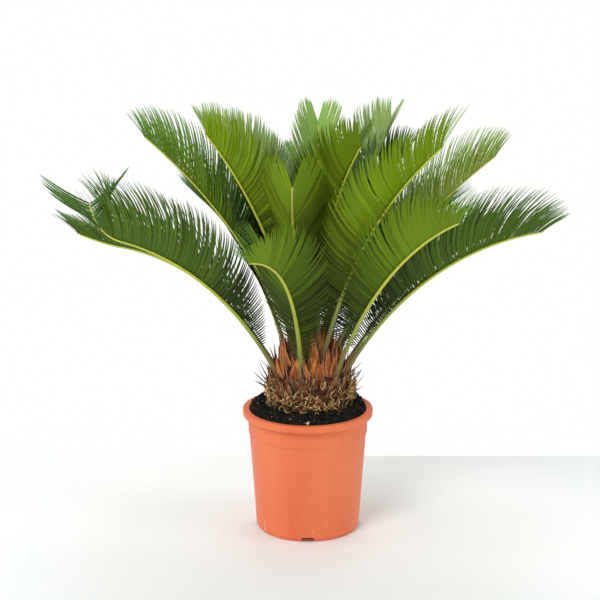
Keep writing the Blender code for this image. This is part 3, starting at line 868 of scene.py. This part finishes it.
def build_leaf_stubs(draw):
    """The broken leaf bases round the lower caudex."""
    rings, higher = layer_rings(STUB_LAYERS, BLUNT, (0.42, 0.60), (0.0, 0.30), draw)
    looks = [
        fibrous("stub_tan", (132, 94, 54), (222, 180, 116)),
        fibrous("stub_brown", (88, 58, 38), (172, 124, 78)),
        fibrous("stub_maroon", (72, 34, 26), (146, 80, 54)),
        fibrous("stub_edge", (150, 112, 66), (228, 196, 138)),
        fibrous("stub_dark", (34, 24, 18), (86, 60, 42)),
    ]
    chances = draw.uniform(0.0, 1.0, len(higher))
    low = np.where(chances < 0.42, 0, np.where(chances < 0.76, 1, 4))
    high = np.where(chances < 0.16, 0, np.where(chances < 0.42, 1, np.where(chances < 0.86, 2, 4)))
    upper = higher + draw.normal(0.0, 0.08, len(higher)) > 0.48
    build_scales("leaf_stubs", rings, looks, np.where(upper, high, low), 3)


def build_thorns(draw):
    """Dark-tipped spines, the stalks of old leaves, that stand off the caudex's sides."""
    rings, higher = layer_rings((SPINE_LAYER,), TAPERED, (0.7, 0.9), (0.10, 0.45), draw)
    looks = [
        fibrous("thorn_brown", (84, 52, 32), (158, 108, 66)),
        fibrous("thorn_dark", (32, 22, 18), (74, 50, 38)),
    ]
    dealt = np.zeros(len(higher), int)
    build_scales("thorns", rings, looks, dealt, 0, tip_look=1)


FIBRE_SECTION = np.array([(0.5, -0.29), (0.0, 0.58), (-0.5, -0.29)])
FIBRES = 330


def build_fibres(draw):
    """Loose straw-like fibres that lie over the lower caudex."""
    turn = draw.uniform(0.0, math.tau, FIBRES)
    run = draw.uniform(0.001, 0.037, FIBRES)
    root, normal = on_palm(turn, run)
    out = np.stack([-np.sin(turn), np.cos(turn), np.zeros(FIBRES)], -1)
    climb = np.cross(normal, out)
    climb = climb * np.sign(climb[:, 2:3] + 1e-9)
    slant = draw.normal(0.0, 0.9, FIBRES)
    heading = climb * np.cos(slant)[:, None] + out * np.sin(slant)[:, None]
    length = draw.uniform(0.007, 0.019, FIBRES)
    stand = draw.uniform(0.003, 0.007, FIBRES)
    bow = draw.normal(0.0, 0.22, FIBRES)
    rows = np.linspace(0.0, 1.0, 6)[None, :, None]
    sideways = np.cross(normal, heading)
    middles = (
        root[:, None]
        + heading[:, None] * length[:, None, None] * (rows - 0.5)
        + sideways[:, None] * (length * bow)[:, None, None] * (rows - 0.5) ** 2
        + normal[:, None] * stand[:, None, None] * (0.4 + 0.9 * np.sin(math.pi * rows))
    )
    across, up = frames_along(middles, np.broadcast_to(normal[:, None], middles.shape))
    width = draw.uniform(0.0008, 0.0024, FIBRES)[:, None] * np.array(
        [0.5, 0.9, 1.0, 0.9, 0.6, 0.15]
    )
    rings = swept(middles, across, up, FIBRE_SECTION, np.stack([width, 0.5 * width], -1))
    items, rows_count, sides, _ = rings.shape
    quads, starts, ends = swept_faces(items, rows_count, sides)
    looks = [
        mottled("fibre_straw", display(236, 202, 142), 0.2, 600.0, 0.7, 0.3),
        mottled("fibre_tan", display(198, 152, 94), 0.2, 600.0, 0.7, 0.3),
        mottled("fibre_dark", display(104, 66, 42), 0.2, 600.0, 0.7, 0.3),
    ]
    dealt = draw.choice(3, items, p=(0.35, 0.40, 0.25))
    face_looks = np.concatenate([np.repeat(dealt, (rows_count - 1) * sides), dealt, dealt])
    new_piece(
        "fibres", rings.reshape(-1, 3), [quads, starts, ends], looks, face_looks
    )


def main():
    ribs = [Rib(frond) for frond in FRONDS]
    for tint in TINTS:
        draw = np.random.default_rng([SEED, len(tint), ord(tint[0])])
        build_leaflets(tint, [rib for rib in ribs if rib.frond.tint == tint], draw)
    build_ribs(ribs)
    build_spines(ribs, np.random.default_rng([SEED, 6]))
    build_caudex()
    build_bud_scales(np.random.default_rng([SEED, 2]))
    build_leaf_stubs(np.random.default_rng([SEED, 3]))
    build_thorns(np.random.default_rng([SEED, 7]))
    build_fibres(np.random.default_rng([SEED, 4]))
    build_pot()
    build_soil()
    build_crumbs(np.random.default_rng([SEED, 5]))
    build_stage()


# Pot

def pot_look():
    """Moulded terracotta-coloured plastic, faintly blotched, scuffed pale near its foot."""
    look = Look("pot_plastic", 0.42, 0.45)
    blotches = look.noise(14.0, 3.0, look.stretched((1.0, 1.0, 0.35)), 0.5)
    body = look.ramp(blotches, (
        (0.35, display(232, 110, 66)),
        (0.65, display(239, 124, 78)),
    ))
    height = look.tree.nodes.new("ShaderNodeSeparateXYZ")
    look.put(look.place, height.inputs["Vector"])
    near_foot = look.range(height.outputs["Z"], 1.0, 0.0, 0.006, 0.050)
    marks = look.range(look.noise(120.0, 6.0, look.stretched((1.0, 1.0, 0.3)), 0.7), 0.0, 1.0, 0.56, 0.70)
    both = look.tree.nodes.new("ShaderNodeMath")
    both.operation = "MULTIPLY"
    look.put(near_foot, both.inputs[0])
    look.put(marks, both.inputs[1])
    worn = look.tree.nodes.new("ShaderNodeMath")
    worn.operation = "MULTIPLY"
    look.put(both.outputs[0], worn.inputs[0])
    worn.inputs[1].default_value = 0.45
    look.colour(look.mix(worn.outputs[0], body, display(244, 196, 170)))
    fine = look.noise(700.0, 2.0)
    look.roughness(look.range(blotches, 0.36, 0.50))
    look.bump(fine, 0.00008, 0.5)
    return look.material


def wall_radius(height):
    shoulder = POT_HEIGHT - COLLAR_HEIGHT
    return BASE_RADIUS + (SHOULDER_RADIUS - BASE_RADIUS) * height / shoulder


def rounded(points, radius, steps=4):
    """A closed profile whose corners are rounded by up to a radius."""
    points = np.array(points)
    count = len(points)
    made = []
    for index in range(count):
        before, corner, after = points[index - 1], points[index], points[(index + 1) % count]
        back, forth = before - corner, after - corner
        reach = min(radius, 0.45 * np.linalg.norm(back), 0.45 * np.linalg.norm(forth))
        start = corner + back / np.linalg.norm(back) * reach
        end = corner + forth / np.linalg.norm(forth) * reach
        for step in range(steps + 1):
            t = step / steps
            made.append((1 - t) ** 2 * start + 2 * t * (1 - t) * corner + t**2 * end)
    return np.array(made)


def build_pot():
    """The turned shell with its folded lip, collar step and drainage notches."""
    shoulder = POT_HEIGHT - COLLAR_HEIGHT
    lip_foot = POT_HEIGHT - LIP_HEIGHT
    mouth = COLLAR_RADIUS - WALL
    outer = [
        (0.004, 0.0),
        (BASE_RADIUS - 0.0040, 0.0),
        (BASE_RADIUS, 0.0070),
        (SHOULDER_RADIUS, shoulder),
        (COLLAR_RADIUS - 0.0006, shoulder + 0.0022),
        (COLLAR_RADIUS, lip_foot),
        (LIP_RADIUS - 0.0006, lip_foot),
        (LIP_RADIUS, POT_HEIGHT),
        (mouth, POT_HEIGHT),
        (mouth, shoulder + 0.004),
        (wall_radius(shoulder) - WALL, shoulder + 0.001),
        (wall_radius(FLOOR) - WALL, FLOOR),
        (0.004, FLOOR),
    ]
    profile = rounded(outer, 0.0017)
    turn = math.tau * np.arange(POT_SIDES) / POT_SIDES
    out = np.stack([np.cos(turn), np.sin(turn), np.zeros(POT_SIDES)], -1)
    rings = out[None] * profile[:, None, 0:1]
    rings[..., 2] += profile[:, None, 1]
    quads, _, _ = swept_faces(1, len(profile), POT_SIDES)
    last = (len(profile) - 1) * POT_SIDES
    side = np.arange(POT_SIDES)
    turned = (side + 1) % POT_SIDES
    closing = np.stack([last + side, last + turned, turned, side], -1)
    pot = new_piece(
        "pot_shell", rings.reshape(-1, 3), [np.concatenate([quads, closing])], [pot_look()],
        replaces=["pot"],
    )
    cut_notches(pot)
    pot.data.set_sharp_from_angle(angle=math.radians(40))


def cut_notches(pot):
    """Cuts the drainage notches into the foot with one boolean."""
    half_x, half_y, half_z = NOTCH_DEPTH, NOTCH_WIDTH / 2, NOTCH_HEIGHT
    corners = np.array([
        (x, y, z) for x in (-half_x, half_x) for y in (-half_y, half_y) for z in (-half_z, half_z)
    ])
    sides = np.array([
        (0, 1, 3, 2), (4, 6, 7, 5), (0, 4, 5, 1), (2, 3, 7, 6), (0, 2, 6, 4), (1, 5, 7, 3)
    ])
    points, faces = [], []
    for notch in range(NOTCHES):
        angle = math.tau * notch / NOTCHES - math.pi / 2
        cosine, sine = math.cos(angle), math.sin(angle)
        moved = corners + np.array([BASE_RADIUS, 0.0, 0.0])
        turned = np.stack(
            [moved[:, 0] * cosine - moved[:, 1] * sine,
             moved[:, 0] * sine + moved[:, 1] * cosine,
             moved[:, 2]], -1
        )
        points.append(turned)
        faces.append(sides + 8 * notch)
    mesh = bpy.data.meshes.new("notch_cutters")
    mesh.from_pydata(np.concatenate(points).tolist(), [], np.concatenate(faces).tolist())
    cutter = bpy.data.objects.new("notch_cutters", mesh)
    bpy.context.scene.collection.objects.link(cutter)
    cut = pot.modifiers.new("notches", "BOOLEAN")
    cut.object = cutter
    cut.operation = "DIFFERENCE"
    cut.solver = "EXACT"
    bpy.context.view_layer.update()
    evaluated = pot.evaluated_get(bpy.context.evaluated_depsgraph_get())
    made = bpy.data.meshes.new_from_object(evaluated)
    pot.modifiers.clear()
    old = pot.data
    pot.data = made
    bpy.data.meshes.remove(old)
    bpy.data.objects.remove(cutter, do_unlink=True)
    bpy.data.meshes.remove(mesh)


# Soil

def soil_height(radius, right, back):
    """The mound's height at a distance from the pot's axis, banked to the right and the back."""
    lift = BANK_RISE_RIGHT * right + 0.3 * BANK_RISE_BACK * back
    radii = [SOIL_INNER_RADIUS, 0.0765, BANK_RADIUS, BANK_EDGE_RADIUS, COLLAR_RADIUS]
    level = SOIL_LEVEL - 0.0008
    heights = [
        level,
        level,
        SOIL_LEVEL + BANK_HEIGHT + lift,
        SOIL_LEVEL - BANK_FOOT_DROP + 0.3 * lift + BANK_RISE_BACK * back,
        SOIL_EDGE_HEIGHT,
    ]
    result = np.zeros_like(radius)
    for low in range(4):
        inside = (radius >= radii[low]) & (radius <= radii[low + 1])
        t = (radius - radii[low]) / (radii[low + 1] - radii[low])
        t = t * t * (3 - 2 * t)
        result = np.where(inside, heights[low] * (1 - t) + heights[low + 1] * t, result)
    return np.where(radius < radii[0], level, result)


def soil_place(turn, radius):
    """A place on the soil's crumbly surface."""
    right = 0.5 + 0.5 * np.cos(turn)
    back = np.clip(0.4 + 0.9 * np.sin(turn), 0.0, 1.0)
    height = soil_height(radius, right, back)
    place = np.stack([radius * np.cos(turn), radius * np.sin(turn), height], -1)
    clods = lobed_noise(place, 90.0)
    grains = lobed_noise(place, 420.0, 3)
    place[..., 2] += 0.0020 * clods + 0.0016 * grains
    return place


def soil_look():
    look = Look("soil_dark", 0.92, 0.2)
    clods = look.noise(220.0, 6.0, rough=0.7)
    flecks = look.noise(900.0, 2.0)
    dark = look.ramp(clods, (
        (0.35, display(10, 10, 9)),
        (0.55, display(24, 22, 19)),
        (0.72, display(50, 42, 33)),
    ))
    look.colour(look.mix(look.range(flecks, 0.0, 0.5, 0.68, 0.76), dark, display(96, 78, 58)))
    look.bump(clods, 0.0012, 0.9)
    return look.material


def build_soil():
    """The pot's fill: a rough mound on top, and smooth sides that the pot hides."""
    mouth = COLLAR_RADIUS - WALL - GAP
    shoulder = POT_HEIGHT - COLLAR_HEIGHT
    radius = np.linspace(mouth, SOIL_INNER_RADIUS - 0.01, SOIL_TOP_RINGS)
    turn = math.tau * np.arange(SOIL_SIDES) / SOIL_SIDES
    radii, turns = np.meshgrid(radius, turn, indexing="ij")
    top = soil_place(turns, radii)
    out = np.stack([np.cos(turn), np.sin(turn), np.zeros(SOIL_SIDES)], -1)
    below = []
    for wall, height in (
        (wall_radius(FLOOR) - 2 * NOTCH_DEPTH, FLOOR + GAP),
        (wall_radius(FLOOR) - WALL - GAP, FLOOR + 2 * NOTCH_DEPTH),
        (wall_radius(shoulder) - WALL - GAP, shoulder - 0.001),
        (mouth, shoulder + 0.006),
        (mouth, SOIL_EDGE_HEIGHT - 0.006),
    ):
        below.append(out * wall + np.array([0.0, 0.0, height]))
    rings = np.concatenate([np.array(below), top])
    quads, starts, ends = swept_faces(1, len(rings), SOIL_SIDES)
    new_piece(
        "soil_fill", rings.reshape(-1, 3), [quads, starts, ends], [soil_look()],
        replaces=["soil"],
    )


CRUMBS = 3000


def build_crumbs(draw):
    """Crumbs of peat and bark with a few pale, tan and green bits, pressed into the soil."""
    turn = draw.uniform(0.0, math.tau, CRUMBS)
    radius = 0.066 + (COLLAR_RADIUS - WALL - 0.0025 - 0.066) * np.sqrt(draw.uniform(0, 1, CRUMBS))
    place = soil_place(turn, radius)
    size = draw.uniform(0.0006, 0.0017, CRUMBS) * draw.choice((1.0, 1.7), CRUMBS, p=(0.88, 0.12))
    square = math.sqrt(0.5)
    octahedron = np.array([
        (1, 0, 0), (square, square, 0), (0, 1, 0), (-square, square, 0), (-1, 0, 0),
        (-square, -square, 0), (0, -1, 0), (square, -square, 0),
    ])
    levels = np.array([(0.45, -0.75), (0.95, -0.25), (0.9, 0.35), (0.35, 0.8)])
    ball = np.concatenate([octahedron * (wide, wide, 0) + (0, 0, high) for wide, high in levels])
    rough = 1.0 + draw.normal(0.0, 0.16, (CRUMBS, len(ball), 1))
    stretch = draw.uniform(0.5, 1.5, (CRUMBS, 1, 3))
    local = ball[None] * rough * stretch * size[:, None, None]
    spin = draw.uniform(0.0, math.tau, CRUMBS)
    tilt = draw.uniform(-0.8, 0.8, CRUMBS)
    x, y, z = local[..., 0], local[..., 1], local[..., 2]
    y, z = (
        y * np.cos(tilt)[:, None] - z * np.sin(tilt)[:, None],
        y * np.sin(tilt)[:, None] + z * np.cos(tilt)[:, None],
    )
    x, y = (
        x * np.cos(spin)[:, None] - y * np.sin(spin)[:, None],
        x * np.sin(spin)[:, None] + y * np.cos(spin)[:, None],
    )
    rings = (place[:, None] + np.stack([x, y, z], -1)).reshape(CRUMBS, len(levels), 8, 3)
    quads, starts, ends = swept_faces(CRUMBS, len(levels), 8)
    looks = [
        mottled("crumb_black", display(18, 17, 15), 0.4, 900.0, 0.9, 0.2),
        mottled("crumb_brown", display(40, 34, 28), 0.35, 900.0, 0.9, 0.2),
        mottled("crumb_tan", display(122, 98, 68), 0.25, 900.0, 0.85, 0.2),
        mottled("crumb_pale", display(196, 188, 170), 0.1, 900.0, 0.8, 0.3),
        mottled("crumb_green", display(84, 100, 46), 0.2, 900.0, 0.8, 0.3),
    ]
    dealt = draw.choice(5, CRUMBS, p=(0.66, 0.28, 0.045, 0.004, 0.011))
    face_looks = np.concatenate([np.repeat(dealt, (len(levels) - 1) * 8), dealt, dealt])
    new_piece(
        "soil_crumbs", rings.reshape(-1, 3), [quads, starts, ends], looks, face_looks
    )


# Stage, light and camera

def build_stage():
    """The pale floor, soft studio lights, a white surround and the camera."""
    look = Look("floor", 0.7, 0.2)
    grain = look.noise(3.0, 2.0)
    look.colour(look.ramp(grain, ((0.3, display(236, 240, 238)), (0.7, display(240, 243, 241)))))
    mesh = bpy.data.meshes.new("floor")
    mesh.from_pydata(
        [(-3, -3, 0), (3, -3, 0), (3, FLOOR_BACK, 0), (-3, FLOOR_BACK, 0)], [], [(0, 1, 2, 3)]
    )
    mesh.materials.append(look.material)
    floor = bpy.data.objects.new("floor", mesh)
    bpy.context.scene.collection.objects.link(floor)

    world = bpy.data.worlds.new("studio")
    bpy.context.scene.world = world
    world.use_nodes = True
    nodes, links = world.node_tree.nodes, world.node_tree.links
    seen = nodes["Background"]
    seen.inputs["Color"].default_value = (1.0, 0.998, 0.99, 1.0)
    lit = nodes.new("ShaderNodeBackground")
    lit.inputs["Color"].default_value = (1.0, 0.995, 0.985, 1.0)
    lit.inputs["Strength"].default_value = AMBIENT
    rays, mixed = nodes.new("ShaderNodeLightPath"), nodes.new("ShaderNodeMixShader")
    links.new(rays.outputs["Is Camera Ray"], mixed.inputs["Fac"])
    links.new(lit.outputs["Background"], mixed.inputs[1])
    links.new(seen.outputs["Background"], mixed.inputs[2])
    links.new(mixed.outputs["Shader"], nodes["World Output"].inputs["Surface"])

    for name, place, size, power in (
        ("key", (-1.2, -2.2, 2.8), 1.3, 62.0),
        ("fill_right", (2.4, -0.9, 1.4), 1.6, 18.0),
        ("fill_left", (-2.6, -0.3, 1.2), 1.6, 15.0),
        ("top_back", (0.2, 1.3, 2.6), 1.6, 34.0),
    ):
        lamp = bpy.data.lights.new(name, "AREA")
        lamp.size = size
        lamp.energy = power
        light = bpy.data.objects.new(name, lamp)
        light.location = place
        aim = Vector((0.0, 0.0, 0.35)) - Vector(place)
        light.rotation_euler = aim.to_track_quat("-Z", "Y").to_euler()
        bpy.context.scene.collection.objects.link(light)

    shot = bpy.data.cameras.new("camera")
    shot.lens = CAMERA_LENS
    shot.sensor_width = SENSOR_WIDTH
    camera = bpy.data.objects.new("camera", shot)
    camera.location = CAMERA_PLACE
    camera.rotation_euler = (math.radians(CAMERA_TILT), 0.0, 0.0)
    bpy.context.scene.collection.objects.link(camera)
    bpy.context.scene.camera = camera
    bpy.context.scene.view_settings.view_transform = "Standard"


main()
bpy.context.view_layer.update()
